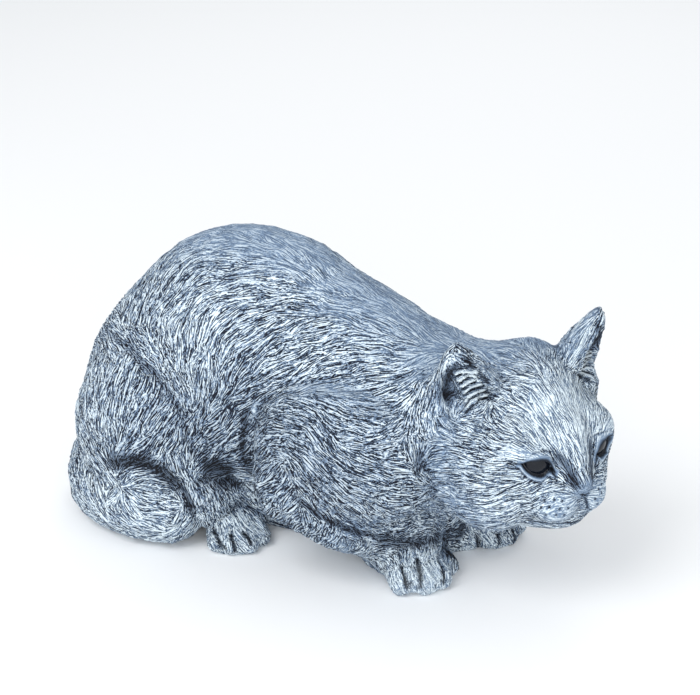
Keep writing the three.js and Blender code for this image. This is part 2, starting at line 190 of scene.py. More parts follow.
# Comb lines: the way the coat lies, as strokes over the skin. The body's and the head's are used
# on both sides of the cat. The head's are in the head's own frame.
BODY_COMB = [
    [(-32, -1, 220), (-2, -11, 207)],
    [(-73, -1, 220), (-46, -7, 219)],
    [(-56, -17, 216), (-26, -12, 215), (1, -16, 201)],
    [(-96, -45, 168), (-77, -40, 188), (-53, -35, 199), (-24, -29, 202), (5, -23, 196)],
    [(-68, -57, 142), (-57, -52, 167), (-36, -44, 184), (-14, -36, 190), (11, -29, 188)],
    [(-47, -59, 128), (-36, -56, 152), (-20, -48, 167), (1, -40, 176), (18, -34, 182)],
    [(-33, -59, 117), (-16, -56, 139), (7, -51, 154), (24, -45, 165)],
    [(-61, -52, 166), (-57, -58, 138), (-62, -59, 117)],
    [(-82, -51, 163), (-82, -56, 142), (-74, -58, 122)],
    [(-101, -47, 160), (-97, -52, 145), (-86, -56, 131), (-77, -60, 112)],
    [(-128, -46, 145), (-108, -54, 138), (-96, -58, 130)],
    [(-169, -21, 135), (-143, -46, 138)],
    [(-105, -41, 172), (-99, -37, 184)],
    [(-131, -25, 174), (-131, -37, 158)],
    [(-154, -49, 126), (-151, -62, 112)],
    [(-126, -58, 130), (-129, -66, 119), (-133, -73, 102)],
    [(-100, -61, 123), (-103, -70, 108)],
    [(-102, -68, 110), (-109, -75, 95), (-118, -78, 74)],
    [(-136, -72, 101), (-134, -76, 86), (-127, -78, 66)],
    [(-151, -70, 92), (-141, -75, 75), (-129, -78, 62)],
    [(-86, -65, 109), (-92, -71, 95), (-104, -76, 79), (-116, -78, 70)],
    [(-79, -62, 106), (-81, -67, 95), (-85, -71, 81), (-95, -75, 71)],
    [(-41, -60, 117), (-55, -59, 102), (-69, -60, 88)],
    [(-40, -57, 94), (-56, -56, 78), (-67, -61, 67)],
    [(-66, -59, 111), (-73, -61, 96)],
    [(-45, -51, 65), (-60, -56, 61)],
    [(-63, -60, 56), (-59, -49, 28), (-43, -57, 10)],
    [(-53, -47, 52), (-48, -32, 22), (-33, -35, 11)],
    [(-84, -70, 76), (-76, -68, 56), (-73, -64, 38)],
    [(-67, -62, 38), (-61, -56, 12)],
    [(-42, -56, 150), (-20, -47, 172), (5, -36, 183), (17, -31, 185)],
    [(-34, -59, 126), (-9, -54, 146), (19, -45, 165), (34, -42, 169)],
    [(-17, -59, 124), (7, -58, 143), (33, -50, 153), (48, -43, 161)],
    [(20, -26, 188), (51, -22, 181), (76, -17, 171)],
    [(52, 0, 186), (78, 8, 173)],
    [(45, -36, 172), (67, -26, 170), (80, -16, 170)],
    [(48, -43, 161), (67, -38, 160), (80, -25, 166)],
    [(44, -52, 150), (69, -43, 153), (84, -32, 161)],
    [(34, -68, 143), (53, -69, 139), (71, -61, 137), (82, -51, 140)],
    [(55, -76, 127), (71, -73, 126), (81, -59, 130), (84, -51, 138)],
    [(90, -45, 153), (87, -52, 137), (93, -58, 116), (98, -58, 100)],
    [(97, -46, 155), (98, -51, 139), (102, -53, 130)],
    [(-6, -68, 130), (18, -74, 135), (36, -78, 129), (45, -80, 121)],
    [(-6, -82, 62), (9, -85, 79)],
    [(28, -66, 35), (42, -74, 55)],
    [(47, -61, 31), (59, -63, 43)],
    [(28, -84, 90), (45, -75, 68), (59, -64, 52), (74, -51, 42)],
    [(49, -82, 103), (66, -78, 92), (84, -71, 89), (95, -60, 89)],
    [(58, -79, 115), (78, -74, 110), (94, -63, 108)],
    [(67, -73, 76), (78, -58, 63), (85, -31, 54), (93, -18, 43)],
    [(79, -46, 44), (89, -33, 45), (92, -7, 33)],
    [(79, -47, 34), (83, -43, 17), (88, -47, 8)],
    [(93, -32, 36), (95, -32, 17), (100, -36, 6)],
    [(91, -2, 20), (104, -14, 9)],
    [(67, -50, 27), (76, -50, 14)],
    [(56, -57, 31), (74, -51, 38)],
]
TAIL_COMB = [
    [(-120, -76, 45), (-102, -75, 55), (-88, -70, 52)],
    [(-120, -76, 43), (-101, -77, 37), (-82, -70, 37)],
    [(-121, -77, 41), (-117, -81, 31), (-104, -81, 26), (-87, -77, 23)],
    [(-125, -77, 42), (-133, -81, 30), (-124, -83, 21), (-111, -79, 13)],
    [(-122, -76, 49), (-116, -77, 62), (-100, -76, 66)],
    [(-126, -75, 44), (-134, -75, 51)],
    [(-184, -50, 37), (-169, -66, 31), (-156, -75, 21), (-137, -80, 16), (-114, -78, 10)],
    [(-157, -66, 46), (-153, -73, 36), (-141, -80, 28)],
    [(-86, -71, 65), (-78, -68, 49), (-77, -66, 35), (-79, -71, 25)],
    [(-109, -75, 6), (-86, -75, 16), (-75, -66, 26)],
]
HEAD_COMB = [
    [(-8, -73, -16), (0, -62, -11), (20, -52, -8)],
    [(-5, -74, -25), (3, -60, -31), (23, -52, -23)],
    [(-18, -56, -55), (11, -56, -43), (25, -51, -39)],
    [(-9, -74, -9), (-6, -66, -1), (5, -56, 0)],
    [(-7, -67, 16), (-1, -61, 8), (11, -50, 7)],
    [(64, -6, -9), (55, -8, 4), (48, -10, 14)],
    [(47, -7, 20), (40, -7, 27), (31, -5, 33)],
    [(39, -20, 19), (27, -23, 27), (14, -28, 30)],
    [(40, -15, 20), (30, -15, 28), (23, -16, 36)],
    [(50, -1, 19), (40, 1, 28), (30, 4, 34)],
    [(47, 10, 15), (32, 19, 25)],
    [(7, -14, 46), (-17, -22, 47), (-41, -21, 45)],
    [(31, 2, 34), (14, -3, 47), (-4, -3, 51)],
    [(-39, -19, 46), (-21, -9, 50)],
    [(2, -35, 34), (24, -29, 25), (40, -24, 18)],
    [(11, -44, 22), (30, -37, 19), (42, -26, 15)],
    [(4, -54, 15), (18, -44, 14), (34, -39, 16)],
    [(43, 4, 27), (27, 8, 37), (19, 7, 43)],
    [(39, 24, 18), (26, 31, 23)],
    [(6, -27, 40), (24, -19, 32), (42, -12, 21)],
    [(31, -44, 9), (39, -37, 13), (47, -23, 9)],
    [(34, -43, -18), (41, -36, -13), (46, -31, -6)],
    [(34, -44, -8), (40, -39, -5)],
    [(36, -41, -22), (46, -31, -16), (50, -26, -12)],
    [(56, -24, -21), (60, -14, -18), (63, -5, -14)],
    [(50, -25, -34), (58, -9, -36), (59, 5, -35)],
    [(36, -43, -35), (42, -30, -31), (52, -28, -23)],
    [(52, -14, -1), (59, -9, -9)],
    [(54, -20, -13), (57, -12, -11), (61, -8, -11)],
    [(-10, -65, 31), (-14, -65, 44), (-16, -61, 57), (-8, -59, 71)],
    [(-5, -51, 67), (2, -41, 54), (5, -28, 40)],
    [(0, 7, 50), (-12, 38, 53), (-9, 55, 65)],
    [(16, 5, 45), (4, 25, 42), (-3, 41, 57)],
    [(-6, -62, 55), (-5, -50, 49), (4, -42, 50)],
    [(-8, -57, 45), (-7, -45, 41), (4, -37, 42)],
    [(-7, -51, 34), (-4, -44, 36), (4, -34, 38)],
    [(0, -53, 29), (2, -47, 33), (-1, -37, 35)],
    [(-6, -61, 63), (-1, -55, 60), (2, -47, 54)],
    [(-8, -64, 56), (-10, -60, 41), (-4, -55, 27)],
    [(8, 27, 39), (5, 39, 30), (9, 42, 28)],
    [(3, 34, 46), (-12, 56, 35), (-12, 63, 33)],
]


def head_axes():
    """The head's forward, left and up directions as the columns of a matrix."""
    turn = math.radians(HEAD_TURN)
    dip = math.radians(HEAD_DIP)
    forward = np.array([math.cos(turn) * math.cos(dip), math.sin(turn) * math.cos(dip), -math.sin(dip)])
    left = np.array([-math.sin(turn), math.cos(turn), 0.0])
    return np.stack([forward, left, np.cross(forward, left)], axis=1)


AXES = head_axes()


def in_head(points):
    """Points of the statue as seen from the head's own frame."""
    return (points - np.array(HEAD_AT)) @ AXES


def from_head(points):
    """Points of the head's frame, placed in the statue."""
    return np.asarray(points, float) @ AXES.T + np.array(HEAD_AT)


def smoothstep(low, high, x):
    """0 at low and 1 at high, with no corner at either; low may be the greater one."""
    t = np.clip((x - low) / (high - low), 0.0, 1.0)
    return t * t * (3.0 - 2.0 * t)


def bell(x, middle, width):
    """1 at the middle, fading evenly to both sides."""
    return np.exp(-(((x - middle) / width) ** 2))


def patch(points, centre, radii, edge=0.4):
    """1 inside an ellipsoid, fading to 0 outside; edge is how much of the radius the fade takes."""
    reach = np.linalg.norm((points - np.array(centre, float)) / np.array(radii, float), axis=1)
    return 1.0 - smoothstep(1.0 - edge, 1.0 + edge, reach)


def through(stroke, step=1.0):
    """A smooth line through the points of a stroke, as points about a step apart."""
    knots = np.array(stroke, float)
    if len(knots) < 2:
        return knots
    knots = np.vstack([2 * knots[0] - knots[1], knots, 2 * knots[-1] - knots[-2]])
    parts = []
    for a, b, c, d in zip(knots[:-3], knots[1:-2], knots[2:-1], knots[3:]):
        count = max(int(np.linalg.norm(c - b) / step), 1)
        t = (np.arange(count) / count)[:, None]
        bend = (2 * a - 5 * b + 4 * c - d) * t**2 + (3 * b - a - 3 * c + d) * t**3
        parts.append(0.5 * (2 * b + (c - a) * t + bend))
    return np.concatenate(parts + [knots[-2:-1]])


def on_side(stroke, side):
    """A stroke kept as it is where side is 1, and mirrored left to right where it is -1."""
    return np.array(stroke, float) * np.array([1.0, side, 1.0])


def other_side(stroke):
    """A stroke on the cat's other side."""
    return on_side(stroke, -1.0)


# ---- the comb


def comb_segments():
    """All comb strokes as pairs of points, with the far side's made from the near side's."""
    strokes = []
    for line in BODY_COMB:
        strokes += [np.array(line, float), other_side(line)]
    strokes += [np.array(line, float) for line in TAIL_COMB]
    strokes += [from_head(line) for line in (*RIGHT_TUFTS, *LEFT_TUFTS)]
    for line in HEAD_COMB:
        strokes += [from_head(line), from_head(other_side(line))]
    starts = np.concatenate([s[:-1] for s in strokes])
    ends = np.concatenate([s[1:] for s in strokes])
    return starts, ends


class Comb:
    """The coat's direction anywhere round the statue, held on a box of cells."""

    PITCH = 4.0  # mm between the cells
    REACH = 5.0  # mm within which one stroke rules

    def __init__(self, low, high):
        self.low = np.array(low, float) - 2 * self.PITCH
        shape = np.ceil((np.array(high, float) - self.low) / self.PITCH).astype(int) + 3
        axes = [self.low[i] + self.PITCH * np.arange(shape[i]) for i in range(3)]
        points = np.stack(np.meshgrid(*axes, indexing="ij"), axis=-1).reshape(-1, 3)
        lay = np.zeros((len(points), 6))
        total = np.zeros(len(points))
        for start, end in zip(*comb_segments()):
            along = end - start
            share = np.clip((points - start) @ along / (along @ along), 0.0, 1.0)
            gap = points - start - share[:, None] * along
            weight = 1.0 / (np.einsum("ij,ij->i", gap, gap) + self.REACH**2) ** 2
            x, y, z = along / np.linalg.norm(along)
            lay += weight[:, None] * np.array([x * x, y * y, z * z, x * y, x * z, y * z])
            total += weight
        self.lay = (lay / total[:, None]).reshape(*shape, 6)

    def directions(self, points, normals, like=None):
        """Unit directions along the skin; with like, each is turned to agree with that one."""
        cell = (points - self.low) / self.PITCH
        corner = np.clip(np.floor(cell).astype(int), 0, np.array(self.lay.shape[:3]) - 2)
        share = cell - corner
        lay = np.zeros((len(points), 6))
        for step in product((0, 1), repeat=3):
            i, j, k = (corner + step).T
            x, y, z = (share[:, axis] if far else 1.0 - share[:, axis] for axis, far in enumerate(step))
            lay += (x * y * z)[:, None] * self.lay[i, j, k]
        side = np.cross(normals, np.array([0.31, 0.52, 0.79]))
        side /= np.linalg.norm(side, axis=1, keepdims=True) + 1e-9
        up = np.cross(normals, side)

        def pull(a, b):
            return (
                lay[:, 0] * a[:, 0] * b[:, 0]
                + lay[:, 1] * a[:, 1] * b[:, 1]
                + lay[:, 2] * a[:, 2] * b[:, 2]
                + lay[:, 3] * (a[:, 0] * b[:, 1] + a[:, 1] * b[:, 0])
                + lay[:, 4] * (a[:, 0] * b[:, 2] + a[:, 2] * b[:, 0])
                + lay[:, 5] * (a[:, 1] * b[:, 2] + a[:, 2] * b[:, 1])
            )

        angle = 0.5 * np.arctan2(2.0 * pull(side, up), pull(side, side) - pull(up, up))
        found = np.cos(angle)[:, None] * side + np.sin(angle)[:, None] * up
        if like is not None:
            found *= np.where(np.einsum("ij,ij->i", found, like) < 0, -1.0, 1.0)[:, None]
        return found


class Grain:
    """Smooth random values through space, the same on each run."""

    SIDE = 64  # a power of two, so that places wrap round with a bit mask

    def __init__(self, seed):
        self.values = np.random.default_rng(seed).random(self.SIDE**3).astype(np.float32)

    def at(self, points, cell):
        """The values at the points, from a lattice of the given cell."""
        place = (points / cell).astype(np.float32)
        corner = np.floor(place)
        share = place - corner
        share = share * share * (3.0 - 2.0 * share)
        low = corner.astype(np.int32) & (self.SIDE - 1)
        high = (low + 1) & (self.SIDE - 1)
        layers = []
        for i in (low[:, 0], high[:, 0]):
            rows = []
            for j in (low[:, 1], high[:, 1]):
                start = (i * self.SIDE + j) * self.SIDE
                near = self.values[start + low[:, 2]]
                rows.append(near + share[:, 2] * (self.values[start + high[:, 2]] - near))
            layers.append(rows[0] + share[:, 1] * (rows[1] - rows[0]))
        return layers[0] + share[:, 0] * (layers[1] - layers[0])


# ---- the clay


class Clay:
    """Points, normals and neighbours of the fine mesh, pushed about by the tools below."""

    def __init__(self, mesh):
        count = len(mesh.vertices)
        flat = np.zeros(count * 3, np.float32)
        mesh.vertices.foreach_get("co", flat)
        self.points = flat.reshape(-1, 3).astype(float) / MM
        ends = np.zeros(len(mesh.edges) * 2, np.int32)
        mesh.edges.foreach_get("vertices", ends)
        self.one, self.other = ends.reshape(-1, 2).T
        self.reads = np.bincount(self.one, minlength=count) + np.bincount(self.other, minlength=count)
        self.mesh = mesh
        self.raised = np.zeros(count)
        self.paint = {name: np.zeros(count) for name in ("dark", "pale", "bare", "fine", "eye")}
        self.face_normals()

    def face_normals(self):
        """Writes the points to the mesh and reads its normals back."""
        self.write()
        flat = np.zeros(len(self.points) * 3, np.float32)
        self.mesh.vertex_normals.foreach_get("vector", flat)
        self.normals = flat.reshape(-1, 3).astype(float)

    def write(self):
        self.mesh.vertices.foreach_set("co", (self.points * MM).astype(np.float32).ravel())
        self.mesh.update()

    def spread(self, values):
        """Each point's value as the average of its neighbours'."""
        if values.ndim == 2:
            return np.stack([self.spread(column) for column in values.T], axis=1)
        total = np.bincount(self.one, values[self.other], len(values))
        total += np.bincount(self.other, values[self.one], len(values))
        return total / self.reads

    def eased(self, values, passes):
        """Values spread out evenly over the skin."""
        for _ in range(passes):
            values = self.spread(values)
        return values

    def relax(self, passes, where=1.0, push=0.5, back=0.53):
        """Evens the skin out without shrinking it; where is how far each point takes part."""
        share = np.broadcast_to(where, len(self.points))[:, None]
        for _ in range(passes):
            self.points += push * share * (self.spread(self.points) - self.points)
            self.points -= back * share * (self.spread(self.points) - self.points)
        self.face_normals()

    def hollows(self, passes):
        """How deep each point lies below its surroundings, in mm."""
        return np.einsum("ij,ij->i", self.eased(self.points, passes) - self.points, self.normals)

    def crisp(self, values, passes=12):
        """Only the fine part of the values, with the same contrast everywhere, from -1 to 1."""
        values = values - self.eased(values, passes)
        size = np.sqrt(self.eased(values * values, 3 * passes)) + 1e-6
        return np.clip(values / size / 1.8, -1.0, 1.0)

    def near(self, line, reach, thin=1):
        """The points within reach of a line, and their gaps to each point of it."""
        low, high = line.min(axis=0) - reach, line.max(axis=0) + reach
        which = np.flatnonzero(np.all((self.points > low) & (self.points < high), axis=1))[::thin]
        gaps = np.linalg.norm(self.points[which][:, None, :] - line[None, :, :], axis=2)
        return which, gaps

    def on_skin(self, line, most):
        """The skin's points that a line comes down on, without what lies further off than most."""
        which, gaps = self.near(line, most, thin=2)
        if not len(which):
            return which
        nearest = gaps.argmin(axis=0)
        return which[nearest[gaps[nearest, np.arange(len(line))] < most]]

    def tint(self, name, which, amount):
        """Lays paint on, or wipes it off where the amount is below zero."""
        had = self.paint[name][which]
        self.paint[name][which] = np.where(amount < 0, had * (1.0 + amount), np.maximum(had, amount))

    def stroke(self, stroke, width, push, most=7.0, **tints):
        """Draws a tool along a stroke: raises the skin by push, and tints it as the paint names say."""
        under = self.on_skin(through(stroke), most)
        if not len(under):
            return
        line = self.points[under]
        for _ in range(3):
            line[1:-1] = (line[:-2] + 2 * line[1:-1] + line[2:]) / 4
        which, gaps = self.near(line, 2.4 * width)
        press = np.exp(-((gaps.min(axis=1) / width) ** 2))
        press *= self.normals[which] @ self.normals[under].mean(axis=0) > 0.0
        if len(line) > 3:
            share = gaps.argmin(axis=1) / (len(line) - 1)
            press *= np.clip(0.25 + 5.0 * np.minimum(share, 1.0 - share), 0.0, 1.0)
        self.raised[which] += push * press
        for name, amount in tints.items():
            self.tint(name, which, amount * press)

    def shape(self):
        """Lets the raised skin take its place."""
        self.points += self.raised[:, None] * self.normals
        self.raised[:] = 0.0
        self.face_normals()


# ---- carving


def set_eye(clay, side):
    """Opens the lids of one eye and sinks a glossy ball between them."""
    yaw, slant = math.radians(EYE_YAW), math.radians(EYE_SLANT)
    out = np.array([math.cos(yaw), side * math.sin(yaw), 0.0])
    level_in = math.cos(slant)
    inward = np.array([math.sin(yaw) * level_in, -side * math.cos(yaw) * level_in, -math.sin(slant)])
    up = np.cross(inward, out) * side
    middle = on_side(EYE_AT, side)
    place = in_head(clay.points) - middle
    which = np.flatnonzero((np.linalg.norm(place, axis=1) < 26.0) & (place @ out > -14.0))
    place = place[which]
    a, b, w = place @ inward, place @ up, place @ out
    upper, lower = through(UPPER_LID, 0.5), through(LOWER_LID, 0.5)
    above = np.interp(a, upper[:, 0], upper[:, 1])
    below = np.interp(a, lower[:, 0], lower[:, 1])
    inside = np.minimum(np.minimum(above - b, b - below), EYE_HALF - np.abs(a))
    rim = (np.abs(inside) < 1.5) & (np.abs(a) < 6.0)
    level = w[rim].mean()
    ball = np.sqrt(np.maximum(EYE_BALL**2 - (a + 1.0) ** 2 - (b + 0.3) ** 2, 0.0)) - EYE_BALL + level - 0.5
    move = smoothstep(-0.3, 0.6, inside) * (np.minimum(ball, w - 0.4) - w)
    beside = smoothstep(EYE_HALF + 3.0, EYE_HALF - 1.0, np.abs(a))
    move += beside * 0.9 * bell(inside, -1.2, 1.0) * (inside < 0.3)
    move -= beside * 0.7 * bell(b - above, 4.4, 1.1) * (b > 0)
    clay.points[which] += move[:, None] * (AXES @ out)
    clay.tint("eye", which, smoothstep(0.0, 0.6, inside) * smoothstep(9.0, 8.0, a))
    clay.tint("dark", which, beside * bell(b - above, 0.6, 1.15))
    clay.tint("dark", which, beside * bell(inside, 0.3, 0.6))
    clay.tint("dark", which, 0.4 * beside * bell(b - above, 4.4, 0.9) * (a > -8))
    clay.tint("dark", which, 0.5 * beside * bell(b - below, -3.4, 0.9) * (b < 0))
    clay.tint("pale", which, 0.75 * beside * bell(b - below, -1.6, 0.6))
    clay.tint("bare", which, smoothstep(-3.4, -1.6, inside))

    def beside_eye(points):
        """Points along and up from the eye's middle, placed in the statue."""
        return from_head([middle + p[0] * inward + p[1] * up + level * out for p in points])

    clay.stroke(beside_eye(TEAR), 0.9, -0.6, dark=1.0)
    clay.stroke(beside_eye(LID_TAIL), 1.0, -0.5, dark=0.7)


def pad_ear(clay, first, last):
    """Brings the floor of an ear up to the sheet between its first and last tuft."""
    middle = (first.mean(axis=0) + last.mean(axis=0)) / 2
    along = first[-1] + last[-1] - first[0] - last[0]
    down = (last - first).mean(axis=0)
    out = np.cross(along, down)
    out *= np.sign(out @ AXES[:, 0]) / np.linalg.norm(out)
    half = np.linalg.norm(along) / 4, np.linalg.norm(down) / 2
    along /= np.linalg.norm(along)
    down -= (down @ along) * along
    down /= np.linalg.norm(down)
    place = clay.points - middle
    depth = place @ out
    tall = np.abs(place @ down) / half[1]
    wide = np.abs(place @ along + 1.0) / half[0]
    inside = smoothstep(1.25, 0.9, tall) * smoothstep(1.15, 0.8, wide) * (depth > -22.0)
    inside *= clay.normals @ out > -0.05
    rise = np.maximum(-1.5 - depth, 0.0) * inside
    clay.points += rise[:, None] * out
    clay.face_normals()


def carve_face(clay):
    """The nose, the mouth, the whisker pads, the brows and the insides of the ears."""
    head = in_head(clay.points)
    for side in FACE_SIDES:
        clay.relax(30, patch(head, on_side(EYE_AT, side), (15, 16, 13), 0.3))
    for side in FACE_SIDES:
        set_eye(clay, side)
    clay.face_normals()
    clay.stroke(from_head(PHILTRUM), 1.0, -1.0, dark=0.85, bare=0.6)
    for line in MOUTH:
        clay.stroke(from_head(line), 1.0, -0.9, dark=0.85, bare=0.7)
    for line in NOSTRILS:
        clay.stroke(from_head(line), 1.1, -1.1, dark=0.95)
    for turn in (np.array, other_side):
        clay.stroke(from_head(turn(NOSE_SIDE)), 3.8, -0.5, dark=0.7, bare=0.4)
        clay.stroke(from_head(turn(BROW)), 3.8, 0.4, pale=0.7, bare=0.45)
        for pit in WHISKER_PITS:
            clay.stroke(from_head([turn(pit)]), 0.9, -0.7, dark=0.95)
        clay.tint("pale", slice(None), 0.4 * patch(head, turn((55, -17, -24)), (14, 13, 11), 0.4))
        clay.tint("bare", slice(None), 0.45 * patch(head, turn((58, -14, -24)), (12, 13, 11), 0.4))
    clay.tint("bare", slice(None), 0.6 * patch(head, (62, 2, -12), (9, 9, 9), 0.4))
    clay.tint("pale", slice(None), 0.62 * patch(head, (34, 0, 24), (34, 34, 30), 0.5))
    for width, push, name, amount, line in EAR_EDGES:
        clay.stroke(from_head(line), width, push, **{name: amount})
    for guides, hollow in zip((RIGHT_TUFTS, LEFT_TUFTS), EAR_HOLLOWS):
        first, last = (np.array(guide, float) for guide in guides)
        # Painted shade in the ear's depth.
        clay.stroke(from_head(hollow), 5.0, -1.0, most=9.0, dark=0.85, bare=0.4)
        pad_ear(clay, from_head(first), from_head(last))
        for share in np.linspace(0.0, 1.0, 6):
            clay.stroke(from_head(first + share * (last - first)), 1.7, 2.3, pale=1.0, dark=-0.6)
        for share in (np.arange(7) - 0.5) / 5:
            clay.stroke(from_head(first + share * (last - first)), 0.9, -1.5, dark=1.0)


def finest(points):
    """Which points keep the full fineness of the clay: the eyes, the muzzle, the ears and the toes."""
    head = in_head(points)
    kept = patch(head, (58, 0, -22), (17, 27, 22), 0.01) + patch(points, KNOT, (6, 6, 6), 0.01)
    for guides in (RIGHT_TUFTS, LEFT_TUFTS):
        kept += patch(head, np.mean(guides, axis=(0, 1)), (16, 17, 21), 0.01)
    for side in FACE_SIDES:
        kept += patch(head, on_side(EYE_AT, side), (14, 17, 12), 0.01)
    for toes in TOE_CUTS:
        kept += patch(points, np.mean(toes, axis=0), (8, 8, 8), 0.01)
    return kept > 0.5


def carve_body(clay):
    """The creases of the legs and the tail, the toes and the claws."""
    # Creases darkened with the wash and with painted shade.
    for width, push, dark, line in BODY_CUTS:
        for side in BODY_SIDES:
            clay.stroke(on_side(line, side), width, push, dark=dark)
    for line in TOE_CUTS:
        line = np.array(line, float)
        line += np.array([[-0.25], [0.3]]) * (line[1] - line[0])
        clay.stroke(line, 1.7, -2.3, most=8.0, dark=1.0)
    # Painted shade on the flank and the chest, and painted light on the paws and the tail.
    for amount, name, middle, radii in PAINTED_LIGHT_AND_SHADE:
        for side in BODY_SIDES:
            light_and_shade_share = patch(clay.points, on_side(middle, side), radii, 0.5)
            clay.tint(name, slice(None), amount * light_and_shade_share)
    for claw in CLAWS:
        clay.stroke([claw], 1.2, -1.2, dark=1.0)
    # Patches of painted shade in the deep creases and gaps.
    for width, dark, line in PAINTED_SHADE_PATCHES:
        for side in BODY_SIDES:
            clay.stroke(on_side(line, side), width, 0.0, most=14.0, dark=dark)
    clay.stroke([KNOT], 3.0, 3.0, pale=1.0, bare=1.0, dark=-1.0)
    clay.stroke([KNOT], 0.8, -0.8, dark=0.6)


def carve_coat(clay, settings):
    """Strands of the coat, cut along the comb's lie, and the lie itself for the paint to follow."""
    points, normals = clay.points, clay.normals
    head = in_head(points)
    comb = Comb(points.min(axis=0), points.max(axis=0))
    lie = comb.directions(points, normals)
    sway = math.radians(26.0) * (Grain(11).at(points, 5.0) - 0.5) * 2.0
    lie = np.cos(sway)[:, None] * lie + np.sin(sway)[:, None] * np.cross(normals, lie)
    probe = 3.0
    ahead = comb.directions(points + probe * lie, normals, lie)
    behind = comb.directions(points - probe * lie, normals, lie)
    bend = (ahead - behind) / (2.0 * probe)

    def drawn(seed, cell, length, steps):
        """Random grain drawn out along the coat; a strand is about four cells wide."""
        grain = Grain(seed)
        total = np.zeros(len(points))
        for share in np.linspace(-1.0, 1.0, steps):
            reach = share * length / 2.0
            spot = points + reach * lie + 0.5 * reach * reach * bend
            total += (1.0 - 0.7 * share * share) * grain.at(spot, cell)
        return total

    width, length = settings.strand_width / MM, settings.strand_length / MM
    strand = clay.crisp(drawn(3, width / 4, length, 15), 8)
    lock = drawn(7, width * 0.9, length * 1.5, 9)
    lock = np.clip((lock - lock.mean()) / lock.std() / 2, -1, 1)
    face = patch(head, (22, 0, -2), (68, 72, 66), 0.3)
    fine = np.maximum(face, patch(points, (75, -45, 35), (38, 36, 34), 0.4))
    clay.paint["fine"] = np.maximum(clay.paint["fine"], fine)
    back = smoothstep(0.55, 0.95, clay.eased(normals[:, 2], 20)) * smoothstep(120.0, 165.0, points[:, 2])
    clay.tint("bare", slice(None), 0.55 * back * (1 - face))
    cover = (1.0 - clay.paint["bare"]) * (1.0 - clay.paint["eye"]) * smoothstep(0.2, 3.0, points[:, 2])
    height = settings.strand_depth / MM / 2 * strand * (1 - 0.55 * face)
    height += settings.lock_depth / MM / 2 * lock * (1 - 0.9 * face)
    clay.raised += height * cover
    clay.paint["strand"] = 0.5 + 0.5 * strand
    toward = np.where(face[:, None] > 0.5, points - from_head([(60, 0, -10)]), np.array([-1.0, 0.0, -0.6]))
    lie *= np.where(np.einsum("ij,ij->i", lie, toward) < 0, -1.0, 1.0)[:, None]
    return lie


# ---- looks


def colour(code):
    """A linear colour from a six-digit sRGB code."""
    parts = [int(code[i : i + 2], 16) / 255 for i in (0, 2, 4)]
    return [p / 12.92 if p <= 0.04045 else ((p + 0.055) / 1.055) ** 2.4 for p in parts] + [1.0]


def add(tree, kind, feeds=None, **settings):
    """Adds a node with its settings; feeds gives each input a value, or the socket that drives it."""
    made = tree.nodes.new(kind)
    for name, value in settings.items():
        setattr(made, name, value)
    for key, value in (feeds or {}).items():
        if isinstance(value, bpy.types.NodeSocket):
            tree.links.new(value, made.inputs[key])
        else:
            made.inputs[key].default_value = value
    return made


def mixed(tree, share, one, other, blend="MIX"):
    """The colour between one and other."""
    made = add(tree, "ShaderNodeMix", {0: share, 6: one, 7: other}, data_type="RGBA", blend_type=blend)
    return made.outputs[2]


def between(tree, share, one, other):
    """The number between one and other."""
    return add(tree, "ShaderNodeMix", {0: share, 2: one, 3: other}, data_type="FLOAT").outputs[0]


def eased(tree, value, low, high, to_low=0.0, to_high=1.0):
    """The value taken from low..high to to_low..to_high, with no corner at either end."""
    feeds = {0: value, 1: low, 2: high, 3: to_low, 4: to_high}
    return add(tree, "ShaderNodeMapRange", feeds, interpolation_type="SMOOTHSTEP").outputs[0]


def read(tree, name):
    """The paint or the depth kept on the mesh under that name."""
    return add(tree, "ShaderNodeAttribute", attribute_name=name).outputs["Fac"]


def brushed_hairs(tree, place, lie, width, length, steps):
    """Noise drawn out along the coat's lie: 0 in the cuts between hairs, 1 on their ridges."""
    total = None
    for share in np.linspace(-0.5, 0.5, steps):
        reach = float(share * length)
        shift = {0: lie, 1: (reach,) * 3, 2: place}
        spot = add(tree, "ShaderNodeVectorMath", shift, operation="MULTIPLY_ADD").outputs[0]
        grain = add(tree, "ShaderNodeTexNoise", {"Vector": spot, "Scale": 3.4 / width, "Detail": 0.0})
        if total is None:
            total = grain.outputs[0]
        else:
            total = add(tree, "ShaderNodeMath", {0: total, 1: grain.outputs[0]}, operation="ADD").outputs[0]
    middle, spread = steps * 0.5, steps * 0.052
    return eased(tree, total, middle - spread, middle + spread)


